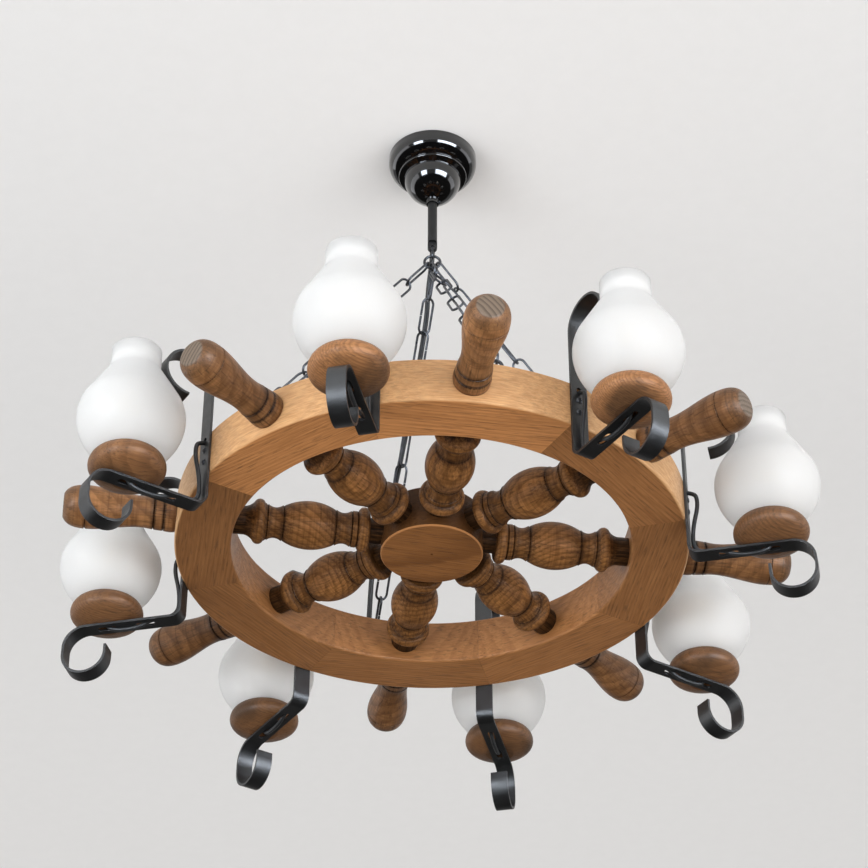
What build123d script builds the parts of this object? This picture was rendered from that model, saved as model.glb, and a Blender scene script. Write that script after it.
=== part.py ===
from build123d import *
from math import cos, degrees, radians, sin, sqrt, tan
import os

# Ship's-wheel chandelier in millimetres, +Z up.
# The origin is on the ceiling, in the middle of the ceiling bracket. The wheel's pieces are made about
# the wheel's own origin, the middle of the rim's underside, and then placed.

os.makedirs("parts", exist_ok=True)

# Wheel rim
arm_count = 8
rim_outer_r = 300
rim_width = 66
rim_height = 57
rim_round = 3
glue_line = 0.3
spoke_turn = 7.5
wood_axis_z = rim_height / 2

# Hub
hub_r = 60
hub_height = 56
hub_rise = 1.6
hub_chamfer = 1.5
hub_round = 3
pilot_r = 1.5
pilot_depth = 8

# Turned grooves and glued tenons
groove_width = 2
groove_depth = 1.1
glue_gap = 0.1

# Spokes
hub_neck_r = 15
hub_neck_length = 15
hub_tenon = 14
bead_r = 26.6
bead_edge_r = 22.6
bead_length = 12.5
ring_r = 21.4
ring_length = 5
cove_r = 18
cove_length = 17
flank_r = 21
belly_r = 28.5
rim_neck_r = 16.8
rim_neck_length = 14
rim_tenon = 20
ogee_length = 10
ogee_r = 18.6

# Handles
handle_length = 130
handle_collar_r = 20.6
handle_collar_swell = 0.8
handle_collar_length = 13
handle_ring_length = 9.5
handle_neck_r = 18.4
handle_neck_at = 42
handle_knob_r = 25.2
handle_knob_at = 108
handle_end_r = 14
handle_shoulder_r = 21.5
handle_shoulder_back = 7
handle_tenon_r = 10
handle_tenon = 30
knob_groove_back = 26

# Lamp brackets
lamp_turn = 1.6
strap_width = 21
strap_thickness = 3
curl_r = 30
curl_z = 126
corner_r = 12
arm_top_z = -44
scroll_r = 26
scroll_out = 117
scroll_drop = 11
scroll_tip = 9
strap_lead_r = 3.6
slot_length = 24
slot_width = 8
slot_1_out = 46
slot_2_out = 93

# Bracket screws
screw_upper_z = 33
screw_lower_z = 17
screw_head_r = 4
screw_head_height = 1.8
screw_shank_r = 2
screw_length = 20
screw_clearance = 0.2
cross_width = 1.1
cross_length = 5
cross_depth = 1

# Lamps
lamp_out = 95.6
cup_foot_r = 18
cup_belly_r = 43.5
cup_top_r = 37
cup_height = 30
cup_belly_up = 18
cup_lead_r = 9
cup_lead_depth = 10
cup_groove_down = 3.4
shade_collar_r = 30
shade_collar_depth = 8.5
shade_fit = 0.4
shade_seat = 0.1
globe_r = 60.8
globe_z = 40
shoulder_r = 40
shade_neck_r = 28.5
shade_top_z = 134
glass_wall = 3
holder_r = 14
holder_fit = 0.3
holder_top_z = 6
holder_sleeve_r = 12.5
holder_sleeve_length = 14
holder_bore_depth = 18
cap_r = 7
cap_fit = 0.1
cap_neck = 2
bulb_r = 17.5
bulb_widest_z = 36
bulb_top_z = 79

# Wiring in the rim
lead_r = 2.5
lead_gap = 0.1
lead_hole_r = 3
channel_inset = 45
channel_width = 9
channel_depth = 12.5

# Ceiling bracket, nuts and terminal block
bar_length = 92
bar_width = 22
bar_thickness = 2.5
bar_drop = 10
bar_middle = 44
bar_slope = 7
bolt_spacing = 74
bolt_slot_length = 12
bolt_slot_width = 5.2
nut_flats = 17
nut_height = 5
nut_fit = 0.05
block_width = 11
block_length = 30
block_height = 14
block_inset = 10.6
block_screw_r = 2.2
block_screw_depth = 6
block_screw_pitch = 9

# Hanging rod
rod_r = 6
rod_bore_r = 4.5
rod_end_z = -143
rod_bore_top_z = -30
rod_bore_end_z = -134
stud_r = 5
stud_top_z = -4
stud_end_z = -20
window_width = 7.6
upper_window_top_z = -42
upper_window_length = 36
lower_window_top_z = -97
lower_window_length = 35
tongue_width = 12
tongue_thickness = 4
tongue_hole_drop = 9
tongue_hole_r = 3

# Canopy, collar and collar screw
lip_r = 57
lip_height = 8
flange_r = 20
flange_sweep = 72
bead_step = 1
canopy_bead_out = 1
canopy_bead_height = 4
bowl_r = 36.7
bowl_z = -34
canopy_wall = 1.2
canopy_hole_r = 6.6
collar_r = 7.9
collar_length = 8
collar_gap = 0.1
slide_gap = 0.05
collar_screw_r = 1.4
collar_screw_fit = 0.05
collar_screw_head_r = 2.4
collar_screw_head_length = 2
collar_screw_slot = 0.7

# Hanger link, ring, chains and screw eyes
link_wire_r = 1.5
link_gap = 0.35
link_seam = 0.5
rod_link_pitch = 17
rod_link_side_gap = 0.5
ring_centre_r = 10
ring_wire_r = 1.75
side_chain_spot = 48
middle_chain_spot = 11
chain_count = 4
chain_turn = 13.7
chain_links = 11
chain_link_inner = 42.96
chain_link_width = 16
chain_twist = 45
eye_inset = 15
eye_centre_r = 6.5
eye_wire_r = 2
eye_stand = 2.5
eye_depth = 18

# Lamp leads: distances out from the rim and heights
lead_exit_out = 10
lead_front_out = 15.5
lead_front_z = 27
lead_back_out = 6.3
lead_back_z = -8
lead_lift = 1
lead_drop = 1
lead_slot_run = 8
lead_bend = 60

# Supply lead through the rod, and the mains cable that goes on from it along the far chain
cable_r = 3.25
cable_bend = 45
supply_turn_z = -38
supply_entry_x = 0.5
supply_entry_z = -66
supply_middle_z = -100
supply_exit_y = 10
supply_exit_z = -128
join_y = 12.5
join_z = -150
join_gap = 0.2
join_run = 12
mains_bend = 90
mains_lift = 11.5
mains_top_lift = 15
mains_top_at = 26
mains_meets_at = 78
mains_meets_right = 5
mains_leaves_at = 160
mains_leaves_right = -2
mains_end_at = 90
mains_end_right = -16
mains_over_rim = 14

# Positions that follow from the sizes above
step = 360 / arm_count
rod_link_inner_width = tongue_thickness + 2 * rod_link_side_gap
bar_bottom_z = -bar_drop - bar_thickness
tongue_hole_z = rod_end_z - tongue_hole_drop
arm_z = arm_top_z - strap_thickness / 2
rim_inner_r = rim_outer_r - rim_width
lamp_r = rim_outer_r + lamp_out
channel_r = rim_outer_r - channel_inset
eye_out = rim_outer_r - eye_inset
cup_top_z = arm_top_z + cup_height
shade_bottom_z = cup_top_z - shade_collar_depth
channel_floor_z = rim_height - channel_depth
lead_z = channel_floor_z + lead_r + lead_gap
holder_floor_z = arm_top_z + cup_lead_depth
canopy_bottom_z = bowl_z - sqrt(bowl_r**2 - canopy_hole_r**2)
collar_top_z = canopy_bottom_z - collar_gap
collar_screw_z = collar_top_z - collar_length / 2


def outward(angle):
    """Direction away from the wheel's axis at an angle round it."""
    return Vector(cos(radians(angle)), sin(radians(angle)), 0)


def spot(radius, angle, height):
    """Point at a distance from the axis, an angle round it and a height."""
    return outward(angle) * radius + Vector(0, 0, height)


def upright_plane(angle):
    """Plane through the axis: its x runs outward and its y runs up."""
    return Plane(origin=(0, 0, 0), x_dir=outward(angle), z_dir=outward(angle - 90))


def save(solid, name):
    solid.label = name
    export_step(solid, f"parts/{name}.step")


def save_group(solids, name):
    save(Compound([solid.solid() for solid in solids]), name)


def bend_radii(points, largest):
    """Bend radius for each inner corner of a cord, as large as its shorter run leaves room for."""
    corners = [Vector(point) for point in points]
    radii = []
    for before, corner, after in zip(corners, corners[1:], corners[2:]):
        arriving = corner - before
        leaving = after - corner
        run = min(arriving.length, leaving.length)
        half_turn = radians(arriving.get_angle(leaving)) / 2
        radii.append(min(largest, 0.45 * run / tan(half_turn)))
    return radii


def cord(points, radius, largest_bend):
    """Round cord through hand-chosen points, with tangent arcs at the corners."""
    radii = bend_radii(points, largest_bend)
    with BuildPart() as tube:
        with BuildLine() as route:
            FilletPolyline(*points, radius=radii)
        with BuildSketch(Plane(origin=route.wire() @ 0, z_dir=route.wire() % 0)):
            Circle(radius)
        sweep(path=route.wire())
    print("cord", round(route.wire().length, 1), "mm, radii", [round(r, 1) for r in radii])
    return tube.part


def oval_link(inner_length, centre_width):
    """Wire link along X with its butt seam in the middle of one leg."""
    bend = centre_width / 2
    straight = inner_length / 2 + link_wire_r - bend
    with BuildPart() as link:
        with BuildLine() as loop:
            Line((link_seam / 2, bend), (straight, bend))
            ThreePointArc((straight, bend), (straight + bend, 0), (straight, -bend))
            Line((straight, -bend), (-straight, -bend))
            ThreePointArc((-straight, -bend), (-straight - bend, 0), (-straight, bend))
            Line((-straight, bend), (-link_seam / 2, bend))
        with BuildSketch(Plane(origin=(link_seam / 2, bend, 0), z_dir=(1, 0, 0))):
            Circle(link_wire_r)
        sweep(path=loop.wire())
    return link.part


# The hanger's heights: the link sits in the tongue's hole, the ring in the link, the chains on the ring.
link_bend = (rod_link_inner_width + 2 * link_wire_r) / 2
link_inner_bend = rod_link_inner_width / 2
link_sag = link_inner_bend - sqrt(link_inner_bend**2 - (tongue_thickness / 2) ** 2)
link_top_z = tongue_hole_z - tongue_hole_r + link_wire_r + link_sag + link_gap
link_bottom_z = link_top_z - rod_link_pitch
ring_top_z = link_bottom_z + link_wire_r + ring_wire_r + link_gap
ring_z = ring_top_z - ring_centre_r

# Each chain leaves the ring at its own spot, and its eye stands on the rim. Chain 1 runs to the right,
# and the next ones follow counter-clockwise.
chain_spots = [side_chain_spot, middle_chain_spot, -side_chain_spot, -middle_chain_spot]
chain_starts = []
for place in chain_spots:
    turn = radians(place)
    chain_starts.append(Vector(ring_centre_r * sin(turn), 0, ring_z - ring_centre_r * cos(turn)))
chain_angles = [chain_turn + 360 / chain_count * number for number in range(chain_count)]
eye_top = rim_height + eye_stand + 2 * eye_centre_r
chain_reach = chain_links * chain_link_inner - ring_wire_r - eye_wire_r
taut_length = chain_reach - (chain_links + 1) * link_gap

# The wheel hangs where the longest chain is taut.
hang_heights = []
for start, angle in zip(chain_starts, chain_angles):
    across = spot(eye_out, angle, 0) - Vector(start.X, start.Y, 0)
    hang_heights.append(start.Z - sqrt(taut_length**2 - across.length**2))
wheel_z = max(hang_heights) - eye_top
print("rim underside at", round(wheel_z, 2))


def on_wheel(angle, radius=0, height=0):
    """Place in the assembly for a wheel piece that was made at angle 0."""
    return Location(spot(radius, angle, wheel_z + height), (0, 0, angle))


spoke_angles = [spoke_turn + step * number for number in range(arm_count)]
lamp_angles = [angle + step / 2 + lamp_turn for angle in spoke_angles]
numbers = range(1, arm_count + 1)

# Rim segments, each centred on a spoke. The bracket that crosses its clockwise end is screwed to it.
glue_angle = degrees(glue_line / rim_outer_r)
segment_arc = step - glue_angle
bracket_angle = lamp_turn - step / 2
eye_angle = chain_turn - spoke_turn


def rim_segment(has_eye):
    with BuildPart() as segment:
        with BuildSketch(upright_plane(-segment_arc / 2)) as section:
            with Locations(((rim_outer_r + rim_inner_r) / 2, rim_height / 2)):
                Rectangle(rim_width, rim_height)
            fillet(section.vertices(), radius=rim_round)
        revolve(axis=Axis.Z, revolution_arc=segment_arc)
        with BuildSketch(Plane.XZ):
            with Locations((channel_r, rim_height)):
                Rectangle(channel_width, 2 * channel_depth)
        revolve(axis=Axis.Z, mode=Mode.SUBTRACT)
        with Locations(Plane(origin=(rim_inner_r, 0, wood_axis_z), z_dir=(1, 0, 0))):
            Cylinder(rim_neck_r + glue_gap, 2 * (rim_tenon + glue_gap), mode=Mode.SUBTRACT)
        with Locations(Plane(origin=(rim_outer_r, 0, wood_axis_z), z_dir=(1, 0, 0))):
            Cylinder(handle_tenon_r + glue_gap, 2 * (handle_tenon + glue_gap), mode=Mode.SUBTRACT)
        lead_hole = Plane(origin=spot(rim_outer_r, bracket_angle, lead_z), z_dir=outward(bracket_angle))
        with Locations(lead_hole):
            Cylinder(lead_hole_r, 2 * (rim_outer_r - channel_r), mode=Mode.SUBTRACT)
        for height in (screw_upper_z, screw_lower_z):
            screw_spot = spot(rim_outer_r, bracket_angle, height)
            with Locations(Plane(origin=screw_spot, z_dir=outward(bracket_angle))):
                Cylinder(screw_shank_r + glue_gap, 2 * screw_length, mode=Mode.SUBTRACT)
        if has_eye:
            with Locations(spot(eye_out, eye_angle, rim_height)):
                Cylinder(eye_wire_r + glue_gap, 2 * (eye_depth + glue_gap), mode=Mode.SUBTRACT)
    return segment.part


segment_with_eye = rim_segment(True)
plain_segment = rim_segment(False)
for number, angle in zip(numbers, spoke_angles):
    segment = segment_with_eye if number % 2 == 1 else plain_segment
    save(segment.moved(on_wheel(angle)), f"rim_segment_{number}")

# Hub
with BuildPart() as hub:
    with Locations((0, 0, hub_rise)):
        Cylinder(hub_r, hub_height, align=(Align.CENTER, Align.CENTER, Align.MIN))
    chamfer(hub.edges().group_by(Axis.Z)[0], hub_chamfer)
    fillet(hub.edges().group_by(Axis.Z)[-1], hub_round)
    for angle in spoke_angles:
        with Locations(Plane(origin=spot(hub_r, angle, wood_axis_z), z_dir=outward(angle))):
            Cylinder(hub_neck_r + glue_gap, 2 * (hub_tenon + glue_gap), mode=Mode.SUBTRACT)
    with Locations((0, 0, hub_rise)):
        Cylinder(pilot_r, 2 * pilot_depth, mode=Mode.SUBTRACT)
save(hub.part.moved(Location((0, 0, wheel_z))), "hub")

# Spokes, turned about X: neck, bead, ring, cove, belly, cove, ring, bead, ogee and neck
in_bead = hub_r + hub_neck_length
in_ring = in_bead + bead_length
in_cove = in_ring + groove_width + ring_length
in_flank = in_cove + groove_width + cove_length
out_neck = rim_inner_r - rim_neck_length
out_bead = out_neck - ogee_length
out_ring = out_bead - bead_length
out_cove = out_ring - groove_width
out_flank = out_cove - groove_width - cove_length
with BuildPart() as spoke:
    with BuildSketch(Plane.XZ):
        with BuildLine():
            Polyline(
                (hub_r - hub_tenon, 0),
                (hub_r - hub_tenon, hub_neck_r),
                (in_bead, hub_neck_r),
                (in_bead, bead_edge_r),
            )
            ThreePointArc((in_bead, bead_edge_r), ((in_bead + in_ring) / 2, bead_r), (in_ring, bead_edge_r))
            Polyline(
                (in_ring, bead_edge_r),
                (in_ring + groove_width / 2, ring_r - groove_depth),
                (in_ring + groove_width, ring_r),
                (in_cove, ring_r),
                (in_cove + groove_width / 2, flank_r - groove_depth),
                (in_cove + groove_width, flank_r),
            )
            ThreePointArc(
                (in_cove + groove_width, flank_r),
                ((in_cove + groove_width + in_flank) / 2, cove_r),
                (in_flank, flank_r),
            )
            Polyline(
                (in_flank, flank_r),
                (in_flank + groove_width / 2, flank_r - groove_depth),
                (in_flank + groove_width, flank_r),
            )
            ThreePointArc(
                (in_flank + groove_width, flank_r),
                ((in_flank + out_flank) / 2, belly_r),
                (out_flank - groove_width, flank_r),
            )
            Polyline(
                (out_flank - groove_width, flank_r),
                (out_flank - groove_width / 2, flank_r - groove_depth),
                (out_flank, flank_r),
            )
            ThreePointArc(
                (out_flank, flank_r),
                ((out_flank + out_cove - groove_width) / 2, cove_r),
                (out_cove - groove_width, flank_r),
            )
            Polyline(
                (out_cove - groove_width, flank_r),
                (out_cove - groove_width / 2, flank_r - groove_depth),
                (out_cove, ring_r),
                (out_ring, bead_edge_r),
            )
            ThreePointArc(
                (out_ring, bead_edge_r),
                ((out_ring + out_bead) / 2, bead_r),
                (out_bead, bead_edge_r),
            )
            ThreePointArc(
                (out_bead, bead_edge_r),
                ((out_bead + out_neck) / 2, ogee_r),
                (out_neck, rim_neck_r),
            )
            Polyline(
                (out_neck, rim_neck_r),
                (rim_inner_r + rim_tenon, rim_neck_r),
                (rim_inner_r + rim_tenon, 0),
                (hub_r - hub_tenon, 0),
            )
        make_face()
    revolve(axis=Axis.X)
for number, angle in zip(numbers, spoke_angles):
    save(spoke.part.moved(on_wheel(angle, 0, wood_axis_z)), f"spoke_{number}")

# Handles, turned about X: tenon, collar, ring, waist, knob and flat end
collar_end = rim_outer_r + handle_collar_length
handle_ring = collar_end + groove_width
handle_ring_end = handle_ring + handle_ring_length
waist_start = handle_ring_end + groove_width
knob_at = rim_outer_r + handle_knob_at
handle_end = rim_outer_r + handle_length
with BuildPart() as handle:
    with BuildSketch(Plane.XZ):
        with BuildLine():
            Polyline(
                (rim_outer_r - handle_tenon, 0),
                (rim_outer_r - handle_tenon, handle_tenon_r),
                (rim_outer_r, handle_tenon_r),
                (rim_outer_r, handle_collar_r),
            )
            ThreePointArc(
                (rim_outer_r, handle_collar_r),
                ((rim_outer_r + collar_end) / 2, handle_collar_r + handle_collar_swell),
                (collar_end, handle_collar_r),
            )
            Polyline(
                (collar_end, handle_collar_r),
                (collar_end + groove_width / 2, handle_collar_r - groove_depth),
                (handle_ring, handle_collar_r),
                (handle_ring_end, handle_collar_r - handle_collar_swell),
                (handle_ring_end + groove_width / 2, handle_neck_r - groove_depth / 2),
                (waist_start, handle_collar_r - handle_collar_swell),
            )
            Spline(
                (waist_start, handle_collar_r - handle_collar_swell),
                (rim_outer_r + handle_neck_at, handle_neck_r),
                (knob_at, handle_knob_r),
                (handle_end - handle_shoulder_back, handle_shoulder_r),
                (handle_end, handle_end_r),
            )
            Polyline((handle_end, handle_end_r), (handle_end, 0), (rim_outer_r - handle_tenon, 0))
        make_face()
    revolve(axis=Axis.X)
    with BuildSketch(Plane.XZ):
        with Locations((handle_end - knob_groove_back, handle_knob_r)):
            Circle(groove_width / 2)
    revolve(axis=Axis.X, mode=Mode.SUBTRACT)
for number, angle in zip(numbers, spoke_angles):
    save(handle.part.moved(on_wheel(angle, 0, wood_axis_z)), f"handle_{number}")

# Lamp brackets: curl, strap down the rim's face, corner, arm and scroll
strap_r = rim_outer_r + strap_thickness / 2
with BuildPart() as bracket:
    with BuildLine(Plane.XZ) as strap_line:
        JernArc((strap_r + curl_r, curl_z - curl_r), (1, 0), curl_r, 270)
        Line((strap_r, curl_z), (strap_r, arm_z + corner_r))
        JernArc((strap_r, arm_z + corner_r), (0, -1), corner_r, 90)
        Line((strap_r + corner_r, arm_z), (rim_outer_r + scroll_out, arm_z))
        JernArc((rim_outer_r + scroll_out, arm_z), (1, 0), scroll_r, -90)
        scroll_side = rim_outer_r + scroll_out + scroll_r
        Line((scroll_side, arm_z - scroll_r), (scroll_side, arm_z - scroll_r - scroll_drop))
        JernArc((scroll_side, arm_z - scroll_r - scroll_drop), (0, -1), scroll_r, -180)
        tip_r = scroll_side - 2 * scroll_r
        Line((tip_r, arm_z - scroll_r - scroll_drop), (tip_r, arm_z - scroll_r - scroll_drop + scroll_tip))
    with BuildSketch(Plane(origin=strap_line.wire() @ 0, x_dir=(0, 1, 0), z_dir=strap_line.wire() % 0)):
        Rectangle(strap_width, strap_thickness)
    sweep(path=strap_line.wire())
    with Locations(Plane(origin=(strap_r, 0, lead_z), z_dir=(1, 0, 0))):
        Cylinder(strap_lead_r, 2 * strap_thickness, mode=Mode.SUBTRACT)
    for height in (screw_upper_z, screw_lower_z):
        with Locations(Plane(origin=(strap_r, 0, height), z_dir=(1, 0, 0))):
            Cylinder(screw_shank_r + screw_clearance, 2 * strap_thickness, mode=Mode.SUBTRACT)
    with BuildSketch(Plane.XY.offset(arm_z)):
        with Locations((rim_outer_r + slot_1_out, 0), (rim_outer_r + slot_2_out, 0)):
            SlotOverall(slot_length, slot_width)
    extrude(amount=strap_thickness, both=True, mode=Mode.SUBTRACT)
for number, angle in zip(numbers, lamp_angles):
    save(bracket.part.moved(on_wheel(angle)), f"bracket_{number}")

# Bracket screws, made along Z with the head's underside at 0
with BuildPart() as screw:
    with BuildSketch(Plane.XZ):
        with BuildLine():
            Line((0, 0), (screw_head_r, 0))
            ThreePointArc(
                (screw_head_r, 0),
                (screw_head_r * cos(radians(45)), screw_head_height * sin(radians(45))),
                (0, screw_head_height),
            )
            Line((0, screw_head_height), (0, 0))
        make_face()
    revolve(axis=Axis.Z)
    Cylinder(screw_shank_r, screw_length, align=(Align.CENTER, Align.CENTER, Align.MAX))
    with Locations((0, 0, screw_head_height)):
        Box(cross_length, cross_width, 2 * cross_depth, mode=Mode.SUBTRACT)
        Box(cross_width, cross_length, 2 * cross_depth, mode=Mode.SUBTRACT)
bracket_screws = []
for angle in lamp_angles:
    for height in (screw_upper_z, screw_lower_z):
        head_place = spot(rim_outer_r + strap_thickness, angle, wheel_z + height)
        bracket_screws.append(screw.part.moved(Plane(origin=head_place, z_dir=outward(angle)).location))
save_group(bracket_screws, "bracket_screws")

# Lamp cups
with BuildPart() as cup:
    with BuildSketch(Plane.XZ):
        with BuildLine():
            Line((0, arm_top_z), (cup_foot_r, arm_top_z))
            Spline(
                (cup_foot_r, arm_top_z),
                (cup_belly_r, arm_top_z + cup_belly_up),
                (cup_top_r, cup_top_z),
                tangents=((1, 0.25), (-1, 0.7)),
            )
            Polyline((cup_top_r, cup_top_z), (0, cup_top_z), (0, arm_top_z))
        make_face()
    revolve(axis=Axis.Z)
    with Locations((0, 0, cup_top_z)):
        Cylinder(shade_collar_r + shade_fit, 2 * (shade_collar_depth + shade_seat), mode=Mode.SUBTRACT)
    with Locations((0, 0, holder_floor_z)):
        Cylinder(
            holder_r + holder_fit,
            cup_height,
            align=(Align.CENTER, Align.CENTER, Align.MIN),
            mode=Mode.SUBTRACT,
        )
        Cylinder(cup_lead_r, 3 * cup_lead_depth, mode=Mode.SUBTRACT)
    with Locations((0, 0, globe_z)):
        Sphere(globe_r + shade_fit, mode=Mode.SUBTRACT)
    with Locations((0, 0, cup_top_z - cup_groove_down)):
        Torus(cup_top_r + cup_groove_down, groove_width / 2, mode=Mode.SUBTRACT)
save_group([cup.part.moved(on_wheel(angle, lamp_r)) for angle in lamp_angles], "lamp_cups")

# Lampholders
with BuildPart() as holder:
    with BuildSketch(Plane.XZ):
        sleeve_z = holder_top_z - holder_sleeve_length
        with BuildLine():
            Polyline(
                (0, holder_floor_z),
                (holder_r, holder_floor_z),
                (holder_r, sleeve_z),
                (holder_sleeve_r, sleeve_z),
                (holder_sleeve_r, holder_top_z),
                (cap_r + cap_fit, holder_top_z),
                (cap_r + cap_fit, holder_top_z - holder_bore_depth),
                (0, holder_top_z - holder_bore_depth),
                close=True,
            )
        make_face()
    revolve(axis=Axis.Z)
save_group([holder.part.moved(on_wheel(angle, lamp_r)) for angle in lamp_angles], "lampholders")

# Bulbs
with BuildPart() as bulb:
    with BuildSketch(Plane.XZ):
        cap_bottom_z = holder_top_z - holder_bore_depth + cap_fit
        cap_top_z = holder_top_z + cap_neck
        with BuildLine():
            Polyline((0, cap_bottom_z), (cap_r, cap_bottom_z), (cap_r, cap_top_z))
            Spline(
                (cap_r, cap_top_z),
                (bulb_r, bulb_widest_z),
                (0, bulb_top_z),
                tangents=((1, 1), (-1, 0.6)),
            )
            Line((0, bulb_top_z), (0, cap_bottom_z))
        make_face()
    revolve(axis=Axis.Z)
save_group([bulb.part.moved(on_wheel(angle, lamp_r)) for angle in lamp_angles], "bulbs")

# Shades: collar, globe, shoulder arc and open neck. The inside is the same outline set in by the wall.
shoulder_out = shade_neck_r + shoulder_r
shoulder_z = globe_z + sqrt((globe_r + shoulder_r) ** 2 - shoulder_out**2)


def shade_outline(inset):
    ball = globe_r - inset
    collar = shade_collar_r - inset
    neck = shade_neck_r - inset
    ball_start_z = globe_z - sqrt(ball**2 - collar**2)
    reach = ball / (globe_r + shoulder_r)
    ball_end = (shoulder_out * reach, globe_z + (shoulder_z - globe_z) * reach)
    Polyline((0, shade_bottom_z), (collar, shade_bottom_z), (collar, ball_start_z))
    ThreePointArc((collar, ball_start_z), (ball, globe_z), ball_end)
    RadiusArc(ball_end, (neck, shoulder_z), shoulder_r + inset)
    Polyline((neck, shoulder_z), (neck, shade_top_z), (0, shade_top_z), (0, shade_bottom_z))


with BuildPart() as shade:
    with BuildSketch(Plane.XZ):
        with BuildLine():
            shade_outline(0)
        make_face()
    revolve(axis=Axis.Z)
    with BuildSketch(Plane.XZ):
        with BuildLine():
            shade_outline(glass_wall)
        make_face()
    revolve(axis=Axis.Z, mode=Mode.SUBTRACT)
for number, angle in zip(numbers, lamp_angles):
    save(shade.part.moved(on_wheel(angle, lamp_r)), f"shade_{number}")

# Ring of wire in the rim's channel
with BuildPart() as harness:
    with Locations((0, 0, lead_z)):
        Torus(channel_r, lead_r)
save(harness.part.moved(Location((0, 0, wheel_z))), "wire_harness")

# Lamp leads: out of the strap, in front of the screws, down, along the arm, through both slots and up
over_arm_z = arm_top_z + lead_r + lead_lift
under_arm_z = arm_top_z - strap_thickness - lead_r - lead_drop
lead_points = [
    (channel_r + lead_r + lead_gap, 0, lead_z),
    (rim_outer_r + lead_exit_out, 0, lead_z),
    (rim_outer_r + lead_front_out, 0, lead_front_z),
    (rim_outer_r + lead_back_out, 0, lead_back_z),
    (rim_outer_r + lead_back_out, 0, over_arm_z),
    (rim_outer_r + slot_1_out - lead_slot_run, 0, over_arm_z),
    (rim_outer_r + slot_1_out + lead_slot_run, 0, under_arm_z),
    (rim_outer_r + slot_2_out - lead_slot_run, 0, under_arm_z),
    (lamp_r, 0, arm_top_z + lead_r),
    (lamp_r, 0, holder_floor_z - lead_gap),
]
lead = cord(lead_points, lead_r, lead_bend)
save_group([lead.moved(on_wheel(angle)) for angle in lamp_angles], "lamp_leads")

# Ceiling bracket
bar_half = bar_length / 2
middle_half = bar_middle / 2
with BuildPart() as ceiling_bracket:
    with BuildSketch(Plane.XZ):
        with BuildLine():
            Polyline(
                (-bar_half, 0),
                (-middle_half - bar_slope, 0),
                (-middle_half, -bar_drop),
                (middle_half, -bar_drop),
                (middle_half + bar_slope, 0),
                (bar_half, 0),
                (bar_half, -bar_thickness),
                (middle_half + bar_slope + bar_thickness / 2, -bar_thickness),
                (middle_half + bar_thickness / 2, bar_bottom_z),
                (-middle_half - bar_thickness / 2, bar_bottom_z),
                (-middle_half - bar_slope - bar_thickness / 2, -bar_thickness),
                (-bar_half, -bar_thickness),
                close=True,
            )
        make_face()
    extrude(amount=bar_width / 2, both=True)
    with BuildSketch(Plane.XY):
        with Locations((-bolt_spacing / 2, 0), (bolt_spacing / 2, 0)):
            SlotOverall(bolt_slot_length, bolt_slot_width)
    extrude(amount=-bar_thickness, mode=Mode.SUBTRACT)
    with Locations((0, 0, bar_bottom_z)):
        Cylinder(stud_r + nut_fit, 4 * bar_thickness, mode=Mode.SUBTRACT)
save(ceiling_bracket.part, "ceiling_bracket")

# Nuts above and below the bracket's middle
nuts = []
for nut_bottom_z in (-bar_drop, bar_bottom_z - nut_height):
    with BuildPart() as nut:
        with BuildSketch(Plane.XY.offset(nut_bottom_z)):
            RegularPolygon(nut_flats / 2, 6, major_radius=False)
            Circle(stud_r + nut_fit, mode=Mode.SUBTRACT)
        extrude(amount=nut_height)
    nuts.append(nut.part)
save_group(nuts, "rod_nuts")

# Terminal block under the bracket
block_x = block_inset + block_width / 2
with BuildPart() as terminal_block:
    with Locations((block_x, 0, bar_bottom_z)):
        Box(block_width, block_length, block_height, align=(Align.CENTER, Align.CENTER, Align.MAX))
    for place in (-block_screw_pitch, 0, block_screw_pitch):
        block_side = (block_inset + block_width, place, bar_bottom_z - block_height / 2)
        with Locations(Plane(origin=block_side, z_dir=(1, 0, 0))):
            Cylinder(block_screw_r, 2 * block_screw_depth, mode=Mode.SUBTRACT)
save(terminal_block.part, "terminal_block")

# Hanging rod: stud, tube with two cable windows, and a flat drilled tongue
with BuildPart() as hanging_rod:
    with Locations((0, 0, stud_end_z)):
        Cylinder(rod_r, stud_end_z - rod_end_z, align=(Align.CENTER, Align.CENTER, Align.MAX))
        Cylinder(stud_r, stud_top_z - stud_end_z, align=(Align.CENTER, Align.CENTER, Align.MIN))
    with Locations((0, 0, rod_bore_top_z)):
        Cylinder(
            rod_bore_r,
            rod_bore_top_z - rod_bore_end_z,
            align=(Align.CENTER, Align.CENTER, Align.MAX),
            mode=Mode.SUBTRACT,
        )
    with BuildSketch(Plane.YZ):
        with Locations((0, upper_window_top_z - upper_window_length / 2)):
            SlotOverall(upper_window_length, window_width, rotation=90)
    extrude(amount=2 * rod_r, mode=Mode.SUBTRACT)
    with BuildSketch(Plane.XZ):
        with Locations((0, lower_window_top_z - lower_window_length / 2)):
            SlotOverall(lower_window_length, window_width, rotation=90)
    extrude(amount=-2 * rod_r, mode=Mode.SUBTRACT)
    with BuildSketch(Plane.XZ):
        with Locations((0, tongue_hole_z)):
            Circle(tongue_width / 2)
        with Locations((0, (rod_end_z + tongue_hole_z) / 2)):
            Rectangle(tongue_width, tongue_hole_drop)
        with Locations((0, tongue_hole_z)):
            Circle(tongue_hole_r, mode=Mode.SUBTRACT)
    extrude(amount=tongue_thickness / 2, both=True)
save(hanging_rod.part, "hanging_rod")


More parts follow.
